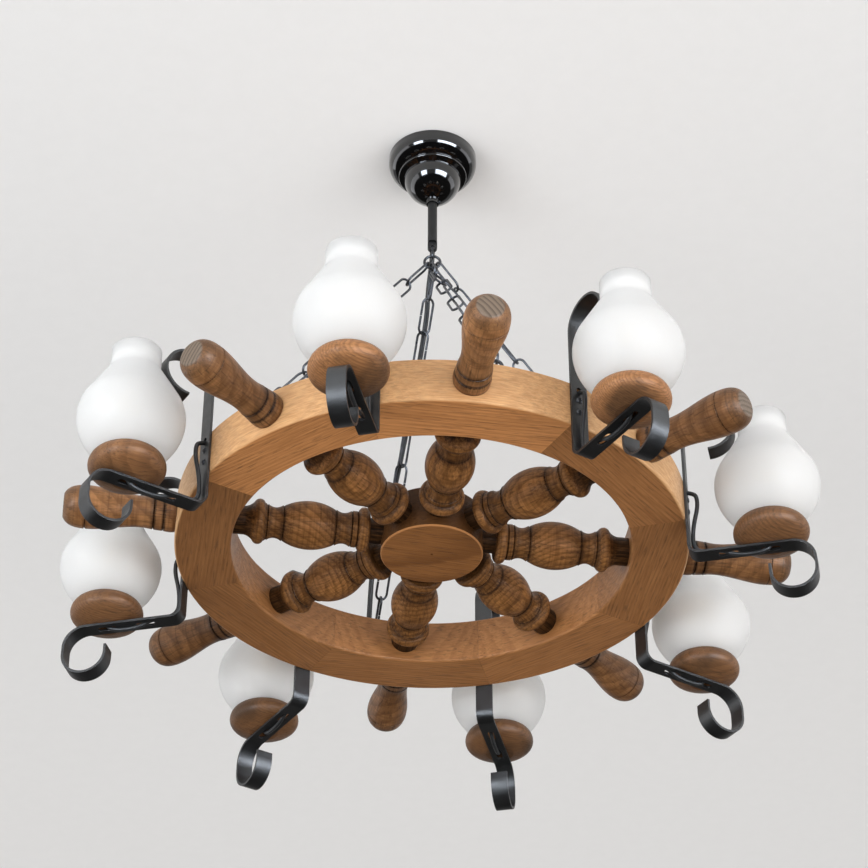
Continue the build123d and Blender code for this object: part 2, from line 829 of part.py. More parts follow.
# Canopy: straight lip, rounded flange, bead and bowl
def canopy_outline(inset, bead_height):
    bend_z = -lip_height
    bend_r = lip_r - flange_r
    curve = flange_r - inset
    turn = radians(flange_sweep)
    flange_end = (bend_r + curve * cos(turn), bend_z - curve * sin(turn))
    bowl = bowl_r - inset
    Polyline((0, 0), (lip_r - inset, 0), (lip_r - inset, bend_z))
    ThreePointArc(
        (lip_r - inset, bend_z),
        (bend_r + curve * cos(turn / 2), bend_z - curve * sin(turn / 2)),
        flange_end,
    )
    if bead_height:
        bead_top = (flange_end[0], flange_end[1] - bead_step)
        bead_end = (flange_end[0] - canopy_bead_out, bead_top[1] - bead_height)
        Line(flange_end, bead_top)
        ThreePointArc(bead_top, (flange_end[0] + canopy_bead_out, bead_top[1] - bead_height / 2), bead_end)
        Line(bead_end, (bowl, bowl_z))
    else:
        Line(flange_end, (bowl, bowl_z))
    bowl_middle = (bowl * cos(radians(45)), bowl_z - bowl * sin(radians(45)))
    ThreePointArc((bowl, bowl_z), bowl_middle, (0, bowl_z - bowl))
    Line((0, bowl_z - bowl), (0, 0))


with BuildPart() as canopy:
    with BuildSketch(Plane.XZ):
        with BuildLine():
            canopy_outline(0, canopy_bead_height)
        make_face()
    revolve(axis=Axis.Z)
    with BuildSketch(Plane.XZ):
        with BuildLine():
            canopy_outline(canopy_wall, 0)
        make_face()
    revolve(axis=Axis.Z, mode=Mode.SUBTRACT)
    with Locations((0, 0, canopy_bottom_z)):
        Cylinder(canopy_hole_r, bowl_r, mode=Mode.SUBTRACT)
save(canopy.part, "canopy")

# Collar that carries the canopy, and its clamping screw
with BuildPart() as canopy_collar:
    with BuildSketch(Plane.XY.offset(collar_top_z)):
        Circle(collar_r)
        Circle(rod_r + slide_gap, mode=Mode.SUBTRACT)
    extrude(amount=-collar_length)
    with Locations(Plane(origin=(rod_r, 0, collar_screw_z), z_dir=(1, 0, 0))):
        Cylinder(
            collar_screw_r + collar_screw_fit,
            collar_r,
            align=(Align.CENTER, Align.CENTER, Align.MIN),
            mode=Mode.SUBTRACT,
        )
save(canopy_collar.part, "canopy_collar")

with BuildPart() as collar_set_screw:
    with BuildSketch(Plane.YZ.offset(rod_r + slide_gap)):
        with Locations((0, collar_screw_z)):
            Circle(collar_screw_r)
    extrude(amount=collar_r - rod_r)
    with BuildSketch(Plane.YZ.offset(collar_r + slide_gap)):
        with Locations((0, collar_screw_z)):
            Circle(collar_screw_head_r)
    extrude(amount=collar_screw_head_length)
    with Locations((collar_r + slide_gap + collar_screw_head_length, 0, collar_screw_z)):
        Box(collar_screw_slot * 2, collar_screw_slot, 3 * collar_screw_head_r, mode=Mode.SUBTRACT)
save(collar_set_screw.part, "collar_set_screw")

# Link in the tongue, in the YZ plane
rod_link_inner = rod_link_pitch - 2 * link_wire_r
rod_link = oval_link(rod_link_inner, 2 * link_bend)
link_plane = Plane(origin=(0, 0, (link_top_z + link_bottom_z) / 2), x_dir=(0, 0, 1), z_dir=(1, 0, 0))
save(rod_link.moved(link_plane.location), "rod_link")

# Ring in the link, in the XZ plane
with BuildPart() as hanging_ring:
    with Locations(Plane(origin=(0, 0, ring_z), z_dir=(0, 1, 0))):
        Torus(ring_centre_r, ring_wire_r)
save(hanging_ring.part, "hanging_ring")

# Screw eyes, each ring facing the axis
with BuildPart() as screw_eye:
    with Locations(Plane(origin=(0, 0, rim_height + eye_stand + eye_centre_r), z_dir=(1, 0, 0))):
        Torus(eye_centre_r, eye_wire_r)
    with Locations((0, 0, rim_height + eye_stand)):
        Cylinder(eye_wire_r, eye_depth + eye_stand, align=(Align.CENTER, Align.CENTER, Align.MAX))
save_group([screw_eye.part.moved(on_wheel(angle, eye_out)) for angle in chain_angles], "screw_eyes")

# Chains. The first link of a side chain lies flat on the ring and that of a middle chain stands; the last
# links all stand in their eyes, and the links between are turned by the twist.
chain_link = oval_link(chain_link_inner, chain_link_width)
chain_solids = []
for number, (start, angle) in enumerate(zip(chain_starts, chain_angles)):
    eye = spot(eye_out, angle, wheel_z + eye_top)
    along = (eye - start).normalized()
    side = along.cross(Vector(0, 0, 1)).normalized()
    above = side.cross(along)
    spare = (chain_reach - (eye - start).length) / (chain_links + 1)
    lies_flat = number % 2 == 0
    first_turn = 90 if lies_flat else 0
    last_twist = 2 * chain_twist if lies_flat else 0
    for place in range(chain_links):
        twist = chain_twist * min(place, 2) / 2
        from_end = chain_links - 1 - place
        if from_end < 2:
            twist = last_twist + (chain_twist - last_twist) * from_end / 2
        turn = radians(first_turn + 90 * place + twist)
        link_step = chain_link_inner - spare
        middle = start + along * (chain_link_inner / 2 - ring_wire_r - spare + place * link_step)
        facing = side * cos(turn) + above * sin(turn)
        chain_solids.append(chain_link.moved(Plane(origin=middle, x_dir=along, z_dir=facing).location))
save_group(chain_solids, "chains")

# Cable from the terminal block into the rod and out of its lower window
window_exit = Vector(0, supply_exit_y, supply_exit_z)
cable_join = Vector(0, join_y, join_z)
supply_points = [
    (block_x, 0, bar_bottom_z - block_height - lead_gap),
    (block_x, 0, supply_turn_z),
    (supply_entry_x, 0, supply_entry_z),
    (0, 0, supply_middle_z),
    window_exit,
    cable_join,
]
save(cord(supply_points, cable_r, cable_bend), "supply_lead")

# Mains cable: on from the join to the far chain, along its links, and past the eye into the rim's channel
far_start = chain_starts[1]
far_angle = chain_angles[1]
far_eye = spot(eye_out, far_angle, wheel_z + eye_top)
far_along = (far_eye - far_start).normalized()
far_right = far_along.cross(Vector(0, 0, 1)).normalized()
far_above = far_right.cross(far_along)
far_length = (far_eye - far_start).length
entry_angle = far_angle - degrees(mains_end_right / channel_r)


def beside_chain(distance, lift, right):
    """Point at a distance down the far chain, lifted off its middle line and moved to its right."""
    return far_start + far_along * distance + far_above * lift + far_right * right


join_down = (cable_join - window_exit).normalized()
mains_points = [
    cable_join + join_down * join_gap,
    cable_join + join_down * join_run,
    beside_chain(mains_top_at, mains_top_lift, 0),
    beside_chain(mains_meets_at, mains_lift, mains_meets_right),
    beside_chain(far_length - mains_leaves_at, mains_lift, mains_leaves_right),
    beside_chain(far_length - mains_end_at, mains_lift, mains_end_right),
    spot(channel_r, entry_angle, wheel_z + rim_height + mains_over_rim),
    spot(channel_r, entry_angle, wheel_z + lead_z + lead_r + 2 * lead_gap),
]
save(cord(mains_points, cable_r, mains_bend), "mains_cable")
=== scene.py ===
from math import acos, cos, pi, radians, sin

import bmesh
import bpy
from mathutils import Matrix, Vector


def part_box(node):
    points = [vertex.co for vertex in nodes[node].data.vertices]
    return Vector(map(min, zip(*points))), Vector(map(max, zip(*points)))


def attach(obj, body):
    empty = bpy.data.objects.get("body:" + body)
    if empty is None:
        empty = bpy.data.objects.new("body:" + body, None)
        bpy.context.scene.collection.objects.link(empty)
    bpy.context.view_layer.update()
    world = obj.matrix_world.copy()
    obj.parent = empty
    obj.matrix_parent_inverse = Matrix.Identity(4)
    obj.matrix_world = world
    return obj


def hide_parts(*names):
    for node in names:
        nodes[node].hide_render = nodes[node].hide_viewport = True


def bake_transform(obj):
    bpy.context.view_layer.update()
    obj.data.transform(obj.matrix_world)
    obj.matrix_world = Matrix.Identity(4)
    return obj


# Ship's-wheel chandelier in metres. The ceiling is the plane z = 0, and the wheel hangs under it.
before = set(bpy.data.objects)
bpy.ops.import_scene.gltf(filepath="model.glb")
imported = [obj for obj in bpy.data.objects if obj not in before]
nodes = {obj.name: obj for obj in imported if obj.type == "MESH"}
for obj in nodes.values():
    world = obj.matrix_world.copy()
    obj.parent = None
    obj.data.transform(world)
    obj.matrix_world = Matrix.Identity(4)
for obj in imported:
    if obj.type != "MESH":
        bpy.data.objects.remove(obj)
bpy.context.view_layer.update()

# Places of the wheel's pieces
arm_count = 8
numbers = range(1, arm_count + 1)
step = 360 / arm_count
first_spoke_angle = 7.5
first_lamp_angle = 31.6
spoke_angles = [first_spoke_angle + step * place for place in range(arm_count)]
lamp_angles = [first_lamp_angle + step * place for place in range(arm_count)]
rim_under_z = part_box("rim_segment_1")[0].z
rim_top_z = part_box("rim_segment_1")[1].z
wood_axis = Vector((0, 0, (rim_under_z + rim_top_z) / 2))
lamp_distance = 0.3956

# Camera, from the photograph's viewing point
camera_place = Vector((-0.02983, -2.54821, -2.3392))
camera_yaw = radians(0.727)
camera_pitch = radians(36.592)
camera_roll = radians(0.108)
camera_lens = 108.96
camera_sensor = 36
camera_reach = 30

# Cord sizes
lead_radius = 0.0025
cable_radius = 0.00325

# Wood colours: pale wood, dark growth rings, and the burnt or stained places. The two lit side colours
# paint light and sheen on the rim's outer side, and the stain colour also paints shade on the far cups
rim_pale = (0.43, 0.194, 0.07, 1)
rim_dark = (0.2, 0.077, 0.022, 1)
lit_side_pale = (0.72, 0.46, 0.235, 1)
lit_side_dark = (0.55, 0.32, 0.15, 1)
spoke_pale = (0.36, 0.16, 0.052, 1)
spoke_dark = (0.052, 0.019, 0.0047, 1)
handle_pale = (0.36, 0.17, 0.067, 1)
handle_dark = (0.1, 0.041, 0.014, 1)
hub_pale = (0.265, 0.112, 0.036, 1)
hub_dark = (0.1, 0.037, 0.0105, 1)
cup_pale = (0.34, 0.158, 0.063, 1)
cup_dark = (0.12, 0.047, 0.017, 1)
burnt = (0.0085, 0.0033, 0.0012, 1)
stain_and_shade = (0.034, 0.02, 0.0115, 1)
end_grain = (0.155, 0.116, 0.086, 1)

# Width of a growth ring in each piece's wood
rim_ring_width = 0.0044
hub_ring_width = 0.0044
spoke_ring_width = 0.00055
handle_ring_width = 0.0008
handle_end_ring_width = 0.0017
cup_ring_width = 0.0009

# How much the growth rings, fibres and pores darken each wood
rim_shares = (0.32, 0.5, 0.4)
turned_shares = (0.45, 0.45, 0.5)
hub_shares = (0.5, 0.45, 0.4)
cup_shares = (0.42, 0.5, 0.4)

# Varnish: its shine, the weaker shine of the burnt pieces, its roughness, and that on spokes and handles
wood_shine = 0.3
burnt_shine = 0.14
wood_roughness = 0.4
spindle_roughness = 0.38

# Between which places each mark on the wood fades in or out: distances from the wheel's axis, except that
# hub_highlight_marks are heights over the rim's middle and far_cup_shade_marks are places along Y. The
# rim's lit side, the hub's highlight and the far cups' shade are painted light
rim_lit_side_marks = (0.297, 0.2995)
handle_knob_marks = (0.408, 0.424)
handle_end_marks = (0.4284, 0.4299)
hub_side_marks = (0.058, 0.0592)
hub_highlight_marks = (-0.0252, -0.0246)
far_cup_shade_marks = (-0.3, -0.2)

# Brightness of each rim segment's board, from the right-hand one counter-clockwise as seen from above:
# partly the board's own tone, partly painted light that brightens the two near boards
board_tones_and_light = (0.76, 0.86, 0.78, 0.7, 0.66, 1.34, 1.5, 0.86)

# Brightness of each handle's wood, in the same order: partly its own tone, partly painted light that
# brightens the near handles and painted shade that darkens the far ones
handle_tones_and_light = (0.78, 0.88, 0.78, 0.66, 1.06, 1.0, 1.3, 0.95)

# How burnt a spoke is along its length: distance from the wheel's axis and darkness
spoke_burn = (
    (0.060, 1.0), (0.0735, 0.92), (0.0755, 0.55), (0.079, 0.25), (0.085, 0.22), (0.0872, 0.55),
    (0.0885, 1.0), (0.0898, 0.45), (0.094, 0.42), (0.0955, 1.0), (0.0975, 0.66), (0.105, 0.38),
    (0.112, 0.6), (0.1145, 1.0), (0.117, 0.5), (0.127, 0.16), (0.145, 0.04), (0.163, 0.16),
    (0.173, 0.5), (0.1755, 1.0), (0.178, 0.6), (0.186, 0.34), (0.193, 0.58), (0.1946, 1.0),
    (0.1985, 0.34), (0.204, 0.2), (0.209, 0.42), (0.213, 0.75), (0.219, 0.95), (0.234, 1.0),
)
spoke_end = 0.235

# How burnt a handle is, in the same way
handle_burn = (
    (0.300, 0.5), (0.304, 0.22), (0.311, 0.3), (0.3128, 0.95), (0.3152, 0.95), (0.317, 0.32),
    (0.3225, 0.3), (0.3243, 0.92), (0.3267, 0.92), (0.329, 0.42), (0.338, 0.22), (0.356, 0.06),
    (0.395, 0.0), (0.4028, 0.06), (0.404, 0.9), (0.4052, 0.06), (0.4168, 0.06), (0.4175, 0.55),
    (0.4182, 0.08), (0.4275, 0.25),
)
handle_end = 0.4305


def around(radius, angle, height):
    """Point at a distance and an angle round the wheel's axis, and a height over the rim's underside."""
    return (radius * cos(radians(angle)), radius * sin(radians(angle)), rim_under_z + height)


# Shader helpers

def add_node(tree, kind, settings=None, values=None):
    """New shader node with its settings and plain socket values."""
    made = tree.nodes.new(kind)
    for name, value in (settings or {}).items():
        setattr(made, name, value)
    for name, value in (values or {}).items():
        made.inputs[name].default_value = value
    return made


def feed(tree, socket, value):
    """Links a socket into another one, or sets a plain value on it."""
    if isinstance(value, bpy.types.NodeSocket):
        tree.links.new(value, socket)
    else:
        socket.default_value = value


def calc(tree, operation, first, second):
    """Math node on two sockets or numbers."""
    made = add_node(tree, "ShaderNodeMath", {"operation": operation})
    feed(tree, made.inputs[0], first)
    feed(tree, made.inputs[1], second)
    return made.outputs[0]


def times(tree, first, second):
    """Product of two sockets or numbers."""
    return calc(tree, "MULTIPLY", first, second)


def fraction(tree, value):
    """What a value has behind its decimal point."""
    made = add_node(tree, "ShaderNodeMath", {"operation": "FRACT"})
    feed(tree, made.inputs[0], value)
    return made.outputs[0]


def scaled(tree, value, factor, offset):
    """Value times a factor plus an offset."""
    made = add_node(tree, "ShaderNodeMath", {"operation": "MULTIPLY_ADD"})
    feed(tree, made.inputs[0], value)
    feed(tree, made.inputs[1], factor)
    feed(tree, made.inputs[2], offset)
    return made.outputs[0]


def vector_calc(tree, operation, first, second):
    """Vector Math node on two sockets or vectors."""
    made = add_node(tree, "ShaderNodeVectorMath", {"operation": operation})
    feed(tree, made.inputs[0], first)
    feed(tree, made.inputs[1], second)
    return made.outputs[0]


def vector_length(tree, vector):
    """Length of a vector."""
    made = add_node(tree, "ShaderNodeVectorMath", {"operation": "LENGTH"})
    tree.links.new(vector, made.inputs[0])
    return made.outputs["Value"]


def split(tree, vector):
    """The three parts of a vector, by the names X, Y and Z."""
    made = add_node(tree, "ShaderNodeSeparateXYZ")
    tree.links.new(vector, made.inputs[0])
    return made.outputs


def spread(tree, value, low, high, to_low=0.0, to_high=1.0):
    """Value eased from one range into another."""
    made = add_node(
        tree,
        "ShaderNodeMapRange",
        {"interpolation_type": "SMOOTHSTEP"},
        {"From Min": low, "From Max": high, "To Min": to_low, "To Max": to_high},
    )
    feed(tree, made.inputs["Value"], value)
    return made.outputs["Result"]


def mix_colours(tree, factor, first, second):
    """Mix of two colours by a factor."""
    made = add_node(tree, "ShaderNodeMix", {"data_type": "RGBA"})
    feed(tree, made.inputs[0], factor)
    feed(tree, made.inputs[6], first)
    feed(tree, made.inputs[7], second)
    return made.outputs[2]


def noise(tree, place, stretch, detail, roughness=0.5):
    """Noise with its own number of features per metre along each axis; outputs Fac and Color."""
    stretched = vector_calc(tree, "MULTIPLY", place, stretch)
    values = {"Scale": 1.0, "Detail": detail, "Roughness": roughness}
    made = add_node(tree, "ShaderNodeTexNoise", None, values)
    tree.links.new(stretched, made.inputs["Vector"])
    return made.outputs


def ramp(tree, value, low, high, stops):
    """Grey ramp over a range of distances."""
    share = add_node(tree, "ShaderNodeMapRange", None, {"From Min": low, "From Max": high})
    feed(tree, share.inputs["Value"], value)
    made = add_node(tree, "ShaderNodeValToRGB")
    points = made.color_ramp.elements
    while len(points) < len(stops):
        points.new(0.5)
    for point, (distance, grey) in zip(points, stops):
        point.position = (distance - low) / (high - low)
        point.color = (grey, grey, grey, 1)
    tree.links.new(share.outputs["Result"], made.inputs["Fac"])
    return made.outputs["Color"]


def new_group(name, inputs, outputs):
    """Shader node group with named sockets, and the group's two end nodes."""
    group = bpy.data.node_groups.new(name, "ShaderNodeTree")
    for socket_name, kind in inputs:
        group.interface.new_socket(socket_name, in_out="INPUT", socket_type=kind)
    for socket_name in outputs:
        group.interface.new_socket(socket_name, in_out="OUTPUT", socket_type="NodeSocketFloat")
    return group, group.nodes.new("NodeGroupInput").outputs, group.nodes.new("NodeGroupOutput").inputs


def use_group(tree, group, values):
    """Places a group in a material with its own values."""
    made = add_node(tree, "ShaderNodeGroup", {"node_tree": group})
    for name, value in values.items():
        feed(tree, made.inputs[name], value)
    return made.outputs


def new_material(name, **values):
    """Material with a Principled shader; the values go straight onto the shader's sockets."""
    material = bpy.data.materials.new(name)
    material.use_nodes = True
    tree = material.node_tree
    shader = tree.nodes["Principled BSDF"]
    for socket_name, value in values.items():
        shader.inputs[socket_name.replace("_", " ")].default_value = value
    return material, tree, shader


def object_place(tree):
    """Place on the piece, in metres."""
    return add_node(tree, "ShaderNodeTexCoord").outputs["Object"]


def add_bump(tree, shader, height, distance, strength, normal=None):
    """Bump from a height into the shader's normal."""
    bump = add_node(tree, "ShaderNodeBump", None, {"Strength": strength, "Distance": distance})
    tree.links.new(height, bump.inputs["Height"])
    if normal is not None:
        tree.links.new(normal, bump.inputs["Normal"])
    tree.links.new(bump.outputs["Normal"], shader.inputs["Normal"])


def dress(node_name, material):
    """Gives a CAD node its finish."""
    mesh = nodes[node_name].data
    mesh.materials.clear()
    mesh.materials.append(material)


# Shared effects

def build_wood_figure():
    """Growth rings, fibres, pores and clouds of wood whose grain runs along X."""
    drift_scale = (5, 14, 14)
    drift_size = (0.0, 0.008, 0.008)
    ring_taper = (0.035, 1, 1)
    season_scale = (3, 70, 70)
    season_share = 0.5
    fibre_scale = (16, 440, 440)
    pore_scale = (40, 520, 520)
    cloud_scale = (16, 30, 30)
    group, given, out = new_group(
        "wood figure",
        [("Place", "NodeSocketVector"), ("Shift", "NodeSocketVector"), ("Ring Width", "NodeSocketFloat")],
        ["Rings", "Fibres", "Pores", "Clouds"],
    )
    place = vector_calc(group, "ADD", given["Place"], given["Shift"])
    drift = noise(group, place, drift_scale, 1.0)["Color"]
    drift = vector_calc(group, "SUBTRACT", drift, (0.5, 0.5, 0.5))
    drift = vector_calc(group, "MULTIPLY", drift, drift_size)
    wandering = vector_calc(group, "ADD", place, drift)
    from_pith = vector_length(group, vector_calc(group, "MULTIPLY", wandering, ring_taper))
    rings = calc(group, "DIVIDE", from_pith, given["Ring Width"])
    seasons = noise(group, place, season_scale, 1.0)["Fac"]
    rings = fraction(group, calc(group, "ADD", rings, times(group, seasons, season_share)))
    late_wood = spread(group, rings, 0.3, 0.86)
    ring_edge = spread(group, rings, 0.9, 1.0, 1.0, 0.0)
    group.links.new(times(group, late_wood, ring_edge), out["Rings"])
    fibres = noise(group, place, fibre_scale, 4.0, 0.65)["Fac"]
    group.links.new(spread(group, fibres, 0.32, 0.68), out["Fibres"])
    pores = noise(group, place, pore_scale, 1.0)["Fac"]
    group.links.new(spread(group, pores, 0.58, 0.7), out["Pores"])
    clouds = noise(group, place, cloud_scale, 3.0, 0.6)["Fac"]
    group.links.new(spread(group, clouds, 0.34, 0.66), out["Clouds"])
    return group


wood_figure = build_wood_figure()


def build_fine_grain():
    """Fine unevenness of paint, plastic and metal: a roughness that varies a little, and a height."""
    smear_scale = (38, 38, 38)
    group, given, out = new_group(
        "fine grain",
        [
            ("Place", "NodeSocketVector"),
            ("Size", "NodeSocketFloat"),
            ("Roughness", "NodeSocketFloat"),
            ("Variation", "NodeSocketFloat"),
        ],
        ["Roughness", "Height", "Smears"],
    )
    sized = add_node(group, "ShaderNodeVectorMath", {"operation": "SCALE"})
    group.links.new(given["Place"], sized.inputs[0])
    group.links.new(calc(group, "DIVIDE", 1.0, given["Size"]), sized.inputs["Scale"])
    grain = noise(group, sized.outputs[0], (1, 1, 1), 2.0)["Fac"]
    smears = spread(group, noise(group, given["Place"], smear_scale, 4.0, 0.6)["Fac"], 0.3, 0.7)
    change = times(group, calc(group, "SUBTRACT", smears, 0.5), given["Variation"])
    group.links.new(calc(group, "ADD", given["Roughness"], change), out["Roughness"])
    group.links.new(grain, out["Height"])
    group.links.new(smears, out["Smears"])
    return group


fine_grain = build_fine_grain()


def use_grain(tree, size, roughness, variation):
    """Fine grain on a piece, with the size of its grains in metres."""
    values = {"Place": object_place(tree), "Size": size, "Roughness": roughness, "Variation": variation}
    return use_group(tree, fine_grain, values)


# Woods

def grain_place(tree, turn):
    """Place relative to the wheel's middle, turned so that a piece's grain runs along X."""
    moved = vector_calc(tree, "SUBTRACT", object_place(tree), wood_axis)
    turned = add_node(tree, "ShaderNodeMapping", None, {"Rotation": (0, 0, -radians(turn))})
    tree.links.new(moved, turned.inputs["Vector"])
    return turned.outputs["Vector"]


def tree_shift(seed, pith_distance, pith_turn, pith_swing):
    """Offset that puts each piece elsewhere in its tree, with the pith to one side of it."""
    swing_step = 2.4
    step_along = 0.71
    turn = radians(pith_turn + pith_swing * sin(swing_step * seed))
    return (step_along * seed, pith_distance * cos(turn), pith_distance * sin(turn))


def board_shift(seed):
    """Shift of a board, which lies well away from the pith."""
    return tree_shift(seed, 0.062, 90, 55)


def turned_shift(seed):
    """Shift of a turned piece, cut close to the pith, which then lies above its axis."""
    return tree_shift(seed, 0.024, -90, 50)


def use_wood(tree, place, shift, ring_width):
    """Figure of one piece's wood."""
    return use_group(tree, wood_figure, {"Place": place, "Shift": shift, "Ring Width": ring_width})


def varnish(tree, shader, figure, roughness):
    """Satin varnish that has sunk into the pores."""
    fibre_dulling = 0.1
    pore_depth = 1.5
    tree.links.new(scaled(tree, figure["Fibres"], fibre_dulling, roughness), shader.inputs["Roughness"])
    height = calc(tree, "SUBTRACT", figure["Fibres"], times(tree, figure["Pores"], pore_depth))
    add_bump(tree, shader, height, distance=0.0004, strength=0.25)


def wood_colour(tree, figure, pale, dark, shares):
    """Colour of sound wood from its figure."""
    ring_share, fibre_share, pore_share = shares
    colour = mix_colours(tree, times(tree, figure["Rings"], ring_share), pale, dark)
    colour = mix_colours(tree, times(tree, figure["Fibres"], fibre_share), colour, dark)
    return mix_colours(tree, times(tree, figure["Pores"], pore_share), colour, stain_and_shade)


def toned(colour, tone):
    """A colour made brighter or darker."""
    return tuple(tone * part for part in colour[:3]) + (1,)


def from_axis(tree, place):
    """Distance from the wheel's axis."""
    return vector_length(tree, vector_calc(tree, "MULTIPLY", place, (1, 1, 0)))


def rim_board(number, angle, tone):
    """One rim segment: a board with its grain along the segment's chord, and an outer side painted paler
    as painted light and sheen.
    """
    cloud_share = 0.18
    side_light_share = 0.6
    material, tree, shader = new_material(f"rim board {number}", Specular_IOR_Level=wood_shine)
    place = grain_place(tree, angle + 90)
    figure = use_wood(tree, place, board_shift(number), rim_ring_width)
    dark = toned(rim_dark, tone)
    colour = wood_colour(tree, figure, toned(rim_pale, tone), dark, rim_shares)
    colour = mix_colours(tree, times(tree, figure["Clouds"], cloud_share), colour, dark)
    # Painted light and sheen: the rim's outer side is painted paler and less saturated than its underside
    lit_outer_side = spread(tree, from_axis(tree, object_place(tree)), *rim_lit_side_marks)
    lit_side_colour = mix_colours(tree, figure["Fibres"], lit_side_pale, lit_side_dark)
    colour = mix_colours(tree, times(tree, lit_outer_side, side_light_share), colour, lit_side_colour)
    tree.links.new(colour, shader.inputs["Base Color"])
    varnish(tree, shader, figure, wood_roughness)
    return material


def turned_wood(name, shine, ring_width, angle, seed, pale, dark, burn, end):
    """Turned spoke or handle with burnt grooves; returns its parts so that more can be added."""
    cloud_share = 0.45
    lathe_scale = (300, 9, 9)
    lathe_share = 0.5
    groove_flicker = 0.0008
    burn_base = 0.72
    burn_streaks = 0.3
    material, tree, shader = new_material(name, Specular_IOR_Level=shine)
    place = grain_place(tree, angle)
    figure = use_wood(tree, place, turned_shift(seed), ring_width)
    colour = wood_colour(tree, figure, pale, dark, turned_shares)
    colour = mix_colours(tree, times(tree, figure["Clouds"], cloud_share), colour, dark)
    lathe = noise(tree, place, lathe_scale, 3.0, 0.6)["Fac"]
    colour = mix_colours(tree, spread(tree, lathe, 0.42, 0.7, 0.0, lathe_share), colour, dark)
    along = split(tree, place)["X"]
    flicker = times(tree, calc(tree, "SUBTRACT", figure["Fibres"], 0.5), groove_flicker)
    darkness = ramp(tree, calc(tree, "ADD", along, flicker), burn[0][0], end, burn)
    streaks = scaled(tree, figure["Fibres"], burn_streaks, burn_base)
    colour = mix_colours(tree, times(tree, darkness, streaks), colour, burnt)
    varnish(tree, shader, figure, spindle_roughness)
    return material, tree, shader, place, along, colour


def spoke_wood(number, angle):
    """Dark spoke with burnt coves and ends."""
    first_seed = 10
    material, tree, shader, _, _, colour = turned_wood(
        f"spoke wood {number}", burnt_shine, spoke_ring_width, angle, number + first_seed,
        spoke_pale, spoke_dark, spoke_burn, spoke_end,
    )
    tree.links.new(colour, shader.inputs["Base Color"])
    return material


def handle_wood(number, angle, tone):
    """Handle with a smoky knob and a greyer ringed end."""
    first_seed = 20
    smoke_share = 0.42
    end_ring_share = 0.65
    material, tree, shader, place, along, colour = turned_wood(
        f"handle wood {number}", wood_shine, handle_ring_width, angle, number + first_seed,
        toned(handle_pale, tone), toned(handle_dark, tone), handle_burn, handle_end,
    )
    smoky_knob = spread(tree, along, *handle_knob_marks, 0.0, smoke_share)
    colour = mix_colours(tree, smoky_knob, colour, stain_and_shade)
    end_figure = use_wood(tree, place, board_shift(number), handle_end_ring_width)
    ringed = mix_colours(tree, times(tree, end_figure["Rings"], end_ring_share), end_grain, stain_and_shade)
    colour = mix_colours(tree, spread(tree, along, *handle_end_marks), colour, ringed)
    tree.links.new(colour, shader.inputs["Base Color"])
    return material


def hub_wood():
    """Hub disc with a smoked side and a paler lower edge, a painted highlight where its chamfer catches
    the light.
    """
    grain_turn = 12
    seed = 31
    edge_highlight = 0.6
    side_smoke = 0.72
    material, tree, shader = new_material("hub wood", Specular_IOR_Level=burnt_shine)
    place = grain_place(tree, grain_turn)
    figure = use_wood(tree, place, board_shift(seed), hub_ring_width)
    colour = wood_colour(tree, figure, hub_pale, hub_dark, hub_shares)
    outer = spread(tree, from_axis(tree, place), *hub_side_marks)
    # Painted highlight: the lower edge of the hub's side is painted in the rim's pale colour, as if its
    # chamfer caught the light
    lit_lower_edge = spread(tree, split(tree, place)["Z"], *hub_highlight_marks, edge_highlight, 0.0)
    smoked_side = times(tree, outer, calc(tree, "SUBTRACT", side_smoke, lit_lower_edge))
    colour = mix_colours(tree, smoked_side, colour, burnt)
    colour = mix_colours(tree, times(tree, outer, lit_lower_edge), colour, rim_pale)
    tree.links.new(colour, shader.inputs["Base Color"])
    varnish(tree, shader, figure, wood_roughness)
    return material


def cup_wood():
    """Reddish turned cups with smoky stained patches, and painted shade that darkens all but the two
    nearest lamps.
    """
    grain_turn = 24
    seed = 41
    smoke_scale = (17, 17, 24)
    smoke_share = 0.7
    far_shade_share = 0.55
    material, tree, shader = new_material("cup wood", Specular_IOR_Level=wood_shine)
    place = grain_place(tree, grain_turn)
    figure = use_wood(tree, place, board_shift(seed), cup_ring_width)
    colour = wood_colour(tree, figure, cup_pale, cup_dark, cup_shares)
    smoke = noise(tree, place, smoke_scale, 2.0)["Fac"]
    colour = mix_colours(tree, spread(tree, smoke, 0.44, 0.68, 0.0, smoke_share), colour, stain_and_shade)
    # Painted shade: the cups away from the near side are darkened with the stain colour
    across = split(tree, object_place(tree))["Y"]
    far_cup_shade = spread(tree, across, *far_cup_shade_marks, 0.0, far_shade_share)
    colour = mix_colours(tree, far_cup_shade, colour, stain_and_shade)
    tree.links.new(colour, shader.inputs["Base Color"])
    varnish(tree, shader, figure, wood_roughness)
    return material


# Metals, plastics and cable

def grained_finish(name, first, second, grain_size, roughness, variation, grain_height, edge, **values):
    """Finish between two colours, with a fine grain and edges that catch the light."""
    material, tree, shader = new_material(name, **values)
    grain = use_grain(tree, grain_size, roughness, variation)
    tree.links.new(mix_colours(tree, grain["Smears"], first, second), shader.inputs["Base Color"])
    tree.links.new(grain["Roughness"], shader.inputs["Roughness"])
    rounded = add_node(tree, "ShaderNodeBevel", {"samples": 4}, {"Radius": edge})
    normal = rounded.outputs["Normal"]
    add_bump(tree, shader, grain["Height"], distance=grain_height, strength=0.3, normal=normal)
    return material


